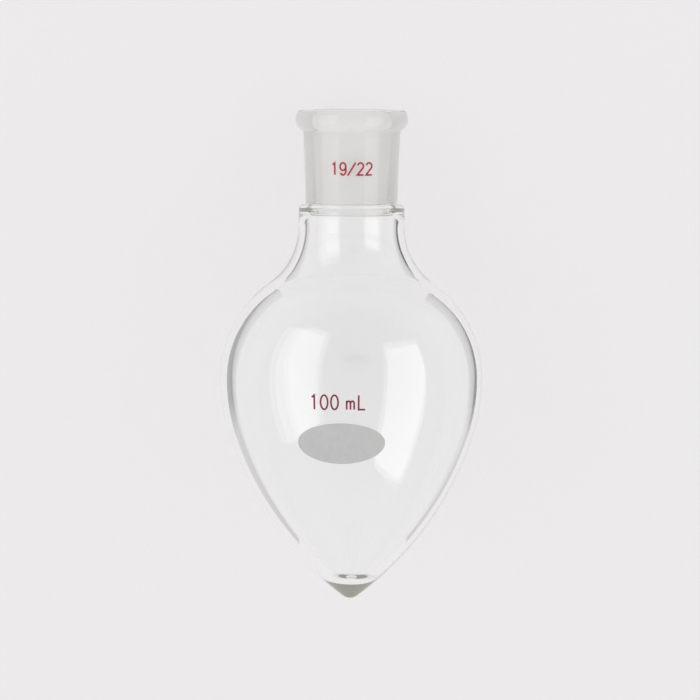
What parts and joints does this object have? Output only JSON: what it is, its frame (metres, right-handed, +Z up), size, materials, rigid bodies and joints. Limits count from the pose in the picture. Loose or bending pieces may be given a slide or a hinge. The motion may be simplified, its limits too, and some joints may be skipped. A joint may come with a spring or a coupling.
{
  "type": "pear-shaped flask",
  "caption": "Clear pear-shaped laboratory flask, one blown glass piece with a solid pointed tip, a ground conical socket and a beaded mouth, lying on its side.",
  "frame": {"origin": "on the bench under the middle of the flask's bounding box, as the flask lies on the shoulder of its bulb and on its mouth bead", "axes": "+X along the lying flask, from the tip to the mouth, +Y across it, +Z up; the flask's own axis dips 17.1 degrees below +X"},
  "size_m": [0.1126, 0.0612, 0.0617],
  "materials": {
    "clear_glass": "clear, smooth, fire-polished",
    "ground_glass": "ground, matt white",
    "white_enamel": "fired matt enamel, for pencil marks",
    "red_enamel": "fired gloss enamel"
  },
  "bodies": {
    "root": {"flask": "clear_glass"}
  },
  "joints": []
}
